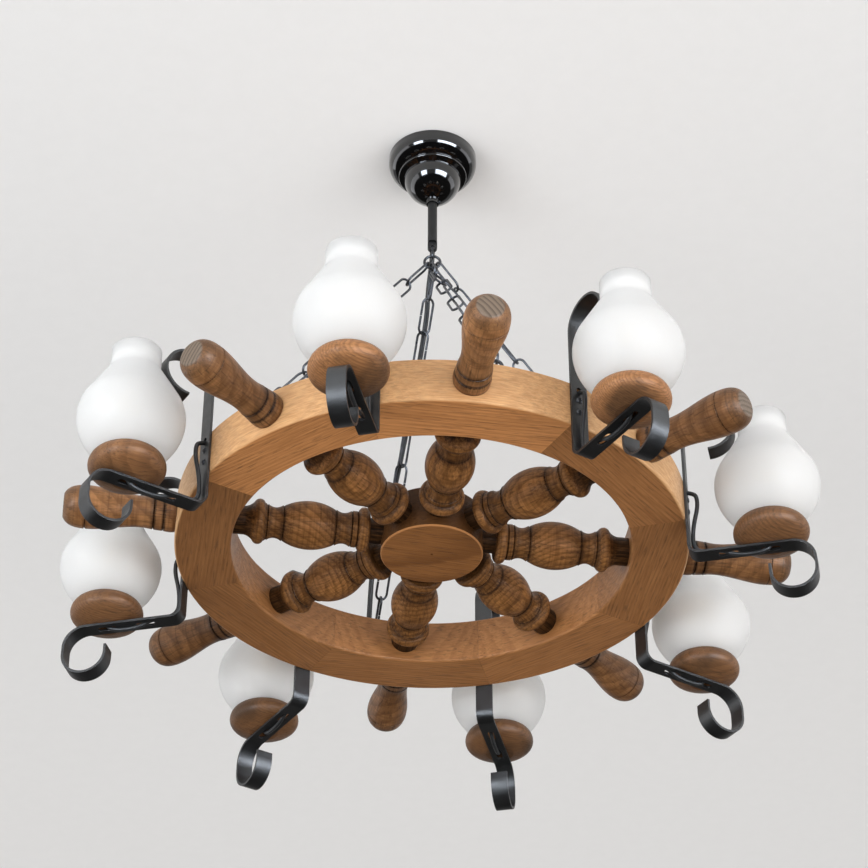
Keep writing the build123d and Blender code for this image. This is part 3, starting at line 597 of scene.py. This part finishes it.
black_iron = grained_finish(
    "satin black iron", (0.002, 0.0022, 0.0025, 1), (0.0036, 0.0039, 0.0044, 1), grain_size=0.0014,
    roughness=0.46, variation=0.12, grain_height=0.0006, edge=0.0006, Specular_IOR_Level=1.0,
)
rod_paint = grained_finish(
    "dull black rod paint", (0.003, 0.0031, 0.0033, 1), (0.005, 0.0051, 0.0054, 1), grain_size=0.0012,
    roughness=0.42, variation=0.1, grain_height=0.0003, edge=0.0003, Specular_IOR_Level=0.42,
)
dark_steel = grained_finish(
    "blackened steel", (0.045, 0.048, 0.054, 1), (0.11, 0.115, 0.126, 1), grain_size=0.0007,
    roughness=0.34, variation=0.14, grain_height=0.00012, edge=0.0002, Metallic=0.85,
)
gloss_black = grained_finish(
    "gloss black paint", (0.001, 0.001, 0.0012, 1), (0.0016, 0.0016, 0.0018, 1), grain_size=0.004,
    roughness=0.1, variation=0.04, grain_height=0.00005, edge=0.0004, Coat_Weight=0.8, Coat_Roughness=0.03,
)
zinc_steel = grained_finish(
    "zinc plated steel", (0.5, 0.5, 0.51, 1), (0.62, 0.62, 0.64, 1), grain_size=0.0008,
    roughness=0.34, variation=0.16, grain_height=0.0001, edge=0.0003, Metallic=1.0,
)
holder_plastic = grained_finish(
    "ivory holder plastic", (0.72, 0.69, 0.62, 1), (0.78, 0.76, 0.7, 1), grain_size=0.0007,
    roughness=0.42, variation=0.1, grain_height=0.0001, edge=0.0004,
)
block_plastic = grained_finish(
    "white block plastic", (0.74, 0.74, 0.72, 1), (0.8, 0.8, 0.79, 1), grain_size=0.0007,
    roughness=0.4, variation=0.1, grain_height=0.0001, edge=0.0004,
)
black_cable = grained_finish(
    "black cable sheath", (0.012, 0.0125, 0.0135, 1), (0.02, 0.021, 0.0225, 1), grain_size=0.0009,
    roughness=0.42, variation=0.1, grain_height=0.00015, edge=0.0002,
)


# Glass and bulbs

def milk_glass():
    """Frosted white glass that lets light through its wall."""
    thin_white = (0.955, 0.957, 0.96, 1)
    full_white = (0.965, 0.966, 0.968, 1)
    material, tree, shader = new_material(
        "frosted milk glass",
        Transmission_Weight=0.5,
        Subsurface_Weight=0.5,
        Subsurface_Radius=(1.0, 1.0, 1.0),
        Subsurface_Scale=0.02,
        IOR=1.45,
    )
    grain = use_grain(tree, size=0.0006, roughness=0.54, variation=0.06)
    colour = mix_colours(tree, grain["Smears"], thin_white, full_white)
    tree.links.new(colour, shader.inputs["Base Color"])
    tree.links.new(grain["Roughness"], shader.inputs["Roughness"])
    return material


def bulb_finish():
    """Amber candle bulb with a white collar, on a metal cap."""
    cap_metal = (0.6, 0.58, 0.55, 1)
    collar_white = (0.92, 0.92, 0.9, 1)
    amber = (0.8, 0.62, 0.3, 1)
    cap_end = rim_under_z + 0.0075
    cap_edge = 0.0003
    collar_end = rim_under_z + 0.036
    collar_edge = 0.001
    material, tree, shader = new_material("candle bulb")
    height = split(tree, object_place(tree))["Z"]
    on_glass = spread(tree, height, cap_end - cap_edge, cap_end + cap_edge)
    colour = mix_colours(tree, on_glass, cap_metal, collar_white)
    over_collar = spread(tree, height, collar_end - collar_edge, collar_end + collar_edge)
    colour = mix_colours(tree, over_collar, colour, amber)
    tree.links.new(colour, shader.inputs["Base Color"])
    tree.links.new(calc(tree, "SUBTRACT", 1.0, on_glass), shader.inputs["Metallic"])
    grain = use_grain(tree, size=0.0008, roughness=0.28, variation=0.06)
    tree.links.new(grain["Roughness"], shader.inputs["Roughness"])
    return material


# Shades: collar, globe with a tighter upper arc, straight sloping shoulder, rounded corner and open neck

shade_collar_radius = 0.03
shade_globe_radius = 0.0608
shade_globe_height = 0.04
shade_upper_radius = 0.045
shade_slope = radians(30)
shade_corner_radius = 0.022
shade_neck_radius = 0.0285
shade_wall = 0.003
shade_low, shade_high = [corner.z - rim_under_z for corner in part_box("shade_1")]
shade_sides = 96
globe_steps = 30
upper_steps = 12
corner_steps = 10


def arc_points(middle, radius, start, end, count):
    """Points of an arc in the turned section, as radius and height."""
    turns = [start + (end - start) * place / count for place in range(count + 1)]
    return [(middle[0] + radius * cos(turn), middle[1] + radius * sin(turn)) for turn in turns]


def shade_section(inset):
    """One side of the glass wall from its foot to its mouth, set in from the outside."""
    globe = shade_globe_radius - inset
    upper = shade_upper_radius - inset
    upper_middle = shade_globe_radius - shade_upper_radius
    collar = shade_collar_radius - inset
    neck = shade_neck_radius - inset
    corner_out = shade_neck_radius + shade_corner_radius
    reach = shade_upper_radius + shade_corner_radius - (corner_out - upper_middle) * cos(shade_slope)
    corner = (corner_out, shade_globe_height + reach / sin(shade_slope))
    points = [(collar, shade_low)]
    points += arc_points((0, shade_globe_height), globe, -acos(collar / globe), 0, globe_steps)
    points += arc_points((upper_middle, shade_globe_height), upper, 0, shade_slope, upper_steps)[1:]
    points += arc_points(corner, shade_corner_radius + inset, pi + shade_slope, pi, corner_steps)
    points.append((neck, shade_high))
    return points


def turned_shade(number, angle, glass):
    """Glass of one lamp, turned round its own upright axis."""
    section = shade_section(0) + shade_section(shade_wall)[::-1]
    middle = Vector(around(lamp_distance, angle, 0))
    shape = bmesh.new()
    rows = []
    for side in range(shade_sides):
        turn = 2 * pi * side / shade_sides
        row = []
        for radius, height in section:
            row.append(shape.verts.new(middle + Vector((radius * cos(turn), radius * sin(turn), height))))
        rows.append(row)
    for first, second in zip(rows, rows[1:] + rows[:1]):
        for place in range(len(section)):
            after = (place + 1) % len(section)
            face = shape.faces.new((first[place], second[place], second[after], first[after]))
            face.smooth = True
    mesh = bpy.data.meshes.new(f"glass_shade_{number}")
    bmesh.ops.recalc_face_normals(shape, faces=shape.faces)
    shape.to_mesh(mesh)
    shape.free()
    mesh.materials.append(glass)
    piece = bpy.data.objects.new(f"glass_shade_{number}", mesh)
    bpy.context.scene.collection.objects.link(piece)
    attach(piece, f"shade_{number}_body")
    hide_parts(f"shade_{number}")


# Finishes on the CAD pieces, and the shades

for number, angle, board_tone_and_light, handle_tone_and_light in zip(numbers, spoke_angles, board_tones_and_light, handle_tones_and_light):
    dress(f"rim_segment_{number}", rim_board(number, angle, board_tone_and_light))
    dress(f"spoke_{number}", spoke_wood(number, angle))
    dress(f"handle_{number}", handle_wood(number, angle, handle_tone_and_light))
shade_glass = milk_glass()
for number, angle in zip(numbers, lamp_angles):
    dress(f"bracket_{number}", black_iron)
    turned_shade(number, angle, shade_glass)
dress("hub", hub_wood())
dress("lamp_cups", cup_wood())
dress("bulbs", bulb_finish())
dress("lampholders", holder_plastic)
dress("terminal_block", block_plastic)
dress("hanging_rod", rod_paint)
for name in ("canopy", "canopy_collar"):
    dress(name, gloss_black)
for name in ("bracket_screws", "chains", "screw_eyes", "hanging_ring", "rod_link", "collar_set_screw"):
    dress(name, dark_steel)
for name in ("ceiling_bracket", "rod_nuts"):
    dress(name, zinc_steel)


# Cords

def cord_route(name, points, closed=False):
    """Curve with a route's points as its control points."""
    curve = bpy.data.curves.new(name, "CURVE")
    curve.dimensions = "3D"
    spline = curve.splines.new("NURBS")
    spline.points.add(len(points) - 1)
    for control, point in zip(spline.points, points):
        control.co = (*point, 1)
    spline.order_u = 3
    spline.use_cyclic_u = closed
    spline.use_endpoint_u = not closed
    spline.resolution_u = 16
    route = bpy.data.objects.new(name, curve)
    bpy.context.scene.collection.objects.link(route)
    bpy.context.view_layer.update()
    return route


def route_line(route):
    """Points along a route's own line, read while it has no thickness."""
    line = bpy.data.meshes.new_from_object(route)
    points = [vertex.co.copy() for vertex in line.vertices]
    bpy.data.meshes.remove(line)
    return points


def line_length(points):
    """Length of a line through its points."""
    return sum((after - before).length for before, after in zip(points, points[1:]))


def thicken(route, radius):
    """Gives a route its round section and finish."""
    route.data.bevel_depth = radius
    route.data.bevel_resolution = 5
    route.data.use_fill_caps = True
    route.data.materials.append(black_cable)


# Lamp leads, from the wire in the rim's groove along each bracket into its cup, as radius and height
wire_height = 0.0471
lead_points = (
    (0.2576, wire_height), (0.3100, wire_height), (0.3155, 0.0270), (0.3063, -0.0080), (0.3063, -0.0405),
    (0.3380, -0.0405), (0.3540, -0.0505), (0.3850, -0.0505), (lamp_distance, -0.0415),
    (lamp_distance, -0.0341),
)
for number, angle in zip(numbers, lamp_angles):
    points = [around(radius, angle, height) for radius, height in lead_points]
    lead = cord_route(f"lamp_lead_{number}", points)
    length = line_length(route_line(lead))
    thicken(lead, lead_radius)
    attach(lead, "wheel_body")
    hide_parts("lamp_leads")

# Ring of wire in the rim's groove
ring_radius = 0.255
ring_count = 24
control_radius = ring_radius / cos(pi / ring_count)
ring_angles = [360 * place / ring_count for place in range(ring_count)]
ring_points = [around(control_radius, angle, wire_height) for angle in ring_angles]
rim_wire = cord_route("rim_wire", ring_points, closed=True)
thicken(rim_wire, lead_radius)
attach(rim_wire, "wheel_body")
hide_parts("wire_harness")

# Upper part of the mains cable, from the terminal block down the rod
supply_points = (
    (0.0161, 0, -0.0266), (0.0161, 0, -0.038), (0.0005, 0, -0.066), (0, 0, -0.1), (0, 0.01, -0.128),
    (0, 0.0125, -0.15),
)
supply = cord_route("supply_cord", supply_points)
supply_length = line_length(route_line(supply))
thicken(supply, cable_radius)
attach(supply, "ceiling_mount")
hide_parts("supply_lead")

# Lower part, along the far chain to the rim
mains_points = (
    (0.0, 0.0125, -0.1502), (0.0, 0.0139, -0.1619), (-0.0049, 0.0270, -0.1967),
    (-0.0071, 0.0565, -0.2398), (-0.0477, 0.1899, -0.4186), (-0.0718, 0.2282, -0.4739),
    (-0.0758, 0.2435, -0.5534), (-0.0758, 0.2435, -0.5746),
)
mains_route = cord_route("mains_route", mains_points)
mains_line = route_line(mains_route)
thicken(mains_route, cable_radius)
bpy.context.view_layer.update()
mains = bpy.data.objects.new("mains_cord", bpy.data.meshes.new_from_object(mains_route))
bpy.data.objects.remove(mains_route)
bpy.context.scene.collection.objects.link(mains)
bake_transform(mains)
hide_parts("mains_cable")


# Ceiling

def ceiling_paint():
    """Matt white paint that shows only from below, so that a view from above sees the object."""
    first_white = (0.865, 0.872, 0.885, 1)
    second_white = (0.875, 0.882, 0.895, 1)
    material, tree, shader = new_material("ceiling paint")
    grain = use_grain(tree, size=0.003, roughness=0.85, variation=0.05)
    colour = mix_colours(tree, grain["Smears"], first_white, second_white)
    tree.links.new(colour, shader.inputs["Base Color"])
    tree.links.new(grain["Roughness"], shader.inputs["Roughness"])
    add_bump(tree, shader, grain["Height"], distance=0.0004, strength=0.2)
    behind = add_node(tree, "ShaderNodeNewGeometry").outputs["Backfacing"]
    see_through = add_node(tree, "ShaderNodeBsdfTransparent")
    either = add_node(tree, "ShaderNodeMixShader")
    tree.links.new(behind, either.inputs[0])
    tree.links.new(shader.outputs[0], either.inputs[1])
    tree.links.new(see_through.outputs[0], either.inputs[2])
    tree.links.new(either.outputs[0], tree.nodes["Material Output"].inputs["Surface"])
    return material


ceiling_half = 9
ceiling_gap = 0.0005
corners = [
    (-ceiling_half, -ceiling_half, ceiling_gap),
    (-ceiling_half, ceiling_half, ceiling_gap),
    (ceiling_half, ceiling_half, ceiling_gap),
    (ceiling_half, -ceiling_half, ceiling_gap),
]
ceiling_mesh = bpy.data.meshes.new("ceiling")
ceiling_mesh.from_pydata(corners, [], [(0, 1, 2, 3)])
ceiling_mesh.materials.append(ceiling_paint())
ceiling = bpy.data.objects.new("ceiling", ceiling_mesh)
bpy.context.scene.collection.objects.link(ceiling)


# Room light: soft light from the near side for all matt surfaces. Shiny ones mirror a plain room instead,
# with two windows in its near wall, over a dark floor. Bearings are in radians from the middle of the near
# wall, and heights are the upward part of a direction of length one.

near_light = (2.1, 2.16, 2.25, 1)
floor_bounce = (2.15, 2.06, 1.94, 1)
far_light = (0.2, 0.185, 0.17, 1)
window_light = (17.5, 19.2, 21.5, 1)
side_wall = (1.7, 1.72, 1.78, 1)
quiet_wall = (0.3, 0.3, 0.3, 1)
dark_floor = (0.03, 0.028, 0.026, 1)
plain_backdrop = (0.9, 0.9, 0.89, 1)
windows = ((-0.8, -0.42), (0.2, 1.0))
side_walls = ((-2.3, -1.05), (1.25, 2.0))
window_sill = -0.3
window_head = 0.08
blur = 0.03
floor_to_wall = (-0.85, -0.5)
bounce_to_wall = (-0.55, -0.25)
far_to_near = (0.95, -0.35)
world = bpy.data.worlds.new("soft room light")
world.use_nodes = True
room = world.node_tree
direction = split(room, add_node(room, "ShaderNodeTexCoord").outputs["Generated"])
height = direction["Z"]
to_wall = spread(room, height, *floor_to_wall)
to_near = spread(room, direction["Y"], *far_to_near)
near_room = mix_colours(room, spread(room, height, *bounce_to_wall), floor_bounce, near_light)
soft_room = mix_colours(room, times(room, to_wall, to_near), far_light, near_room)

bearing = calc(room, "ARCTAN2", direction["X"], times(room, direction["Y"], -1.0))
over_sill = spread(room, height, window_sill - blur, window_sill + blur)
under_head = spread(room, height, window_head + blur, window_head - blur)
window_band = times(room, over_sill, under_head)
mirrored_room = mix_colours(room, over_sill, dark_floor, quiet_wall)


def bearing_band(left, right):
    """Mask of the room between two bearings."""
    past_left = spread(room, bearing, left - blur, left + blur)
    before_right = spread(room, bearing, right + blur, right - blur)
    return times(room, past_left, before_right)


for left, right in side_walls:
    wall = times(room, over_sill, bearing_band(left, right))
    mirrored_room = mix_colours(room, wall, mirrored_room, side_wall)
for left, right in windows:
    pane = times(room, window_band, bearing_band(left, right))
    mirrored_room = mix_colours(room, pane, mirrored_room, window_light)

ray = add_node(room, "ShaderNodeLightPath").outputs
seen = mix_colours(room, ray["Is Glossy Ray"], soft_room, mirrored_room)
straight = calc(room, "MAXIMUM", ray["Is Camera Ray"], ray["Is Transmission Ray"])
seen = mix_colours(room, straight, seen, plain_backdrop)
room.links.new(seen, room.nodes["Background"].inputs["Color"])
bpy.context.scene.world = world


def soft_light(name, place, power, colour):
    """Square area light that points at the wheel."""
    light = bpy.data.lights.new(name, "AREA")
    light.size = 2.2
    light.energy = power
    light.color = colour
    holder = bpy.data.objects.new(name, light)
    holder.location = place
    aim = Vector((0, 0, rim_top_z)) - Vector(place)
    holder.rotation_euler = aim.to_track_quat("-Z", "Y").to_euler()
    holder.visible_glossy = False
    bpy.context.scene.collection.objects.link(holder)


soft_light("left window light", place=(-2.7, -2.4, -1.1), power=62, colour=(0.93, 0.98, 1.0))
soft_light("right window light", place=(2.8, -2.0, -1.0), power=48, colour=(1.0, 0.98, 0.95))


# Camera

forward = Vector((
    sin(camera_yaw) * cos(camera_pitch),
    cos(camera_yaw) * cos(camera_pitch),
    sin(camera_pitch),
))
level_right = Vector((cos(camera_yaw), -sin(camera_yaw), 0))
level_up = level_right.cross(forward)
camera_right = level_right * cos(camera_roll) + level_up * sin(camera_roll)
camera_up = level_up * cos(camera_roll) - level_right * sin(camera_roll)
camera_data = bpy.data.cameras.new("photograph view")
camera_data.lens = camera_lens
camera_data.sensor_width = camera_sensor
camera_data.clip_end = camera_reach
camera = bpy.data.objects.new("photograph view", camera_data)
camera_turn = Matrix((camera_right, camera_up, -forward)).transposed().to_4x4()
camera.matrix_world = Matrix.Translation(camera_place) @ camera_turn
bpy.context.scene.collection.objects.link(camera)
bpy.context.scene.camera = camera
bpy.context.scene.view_settings.view_transform = "Standard"
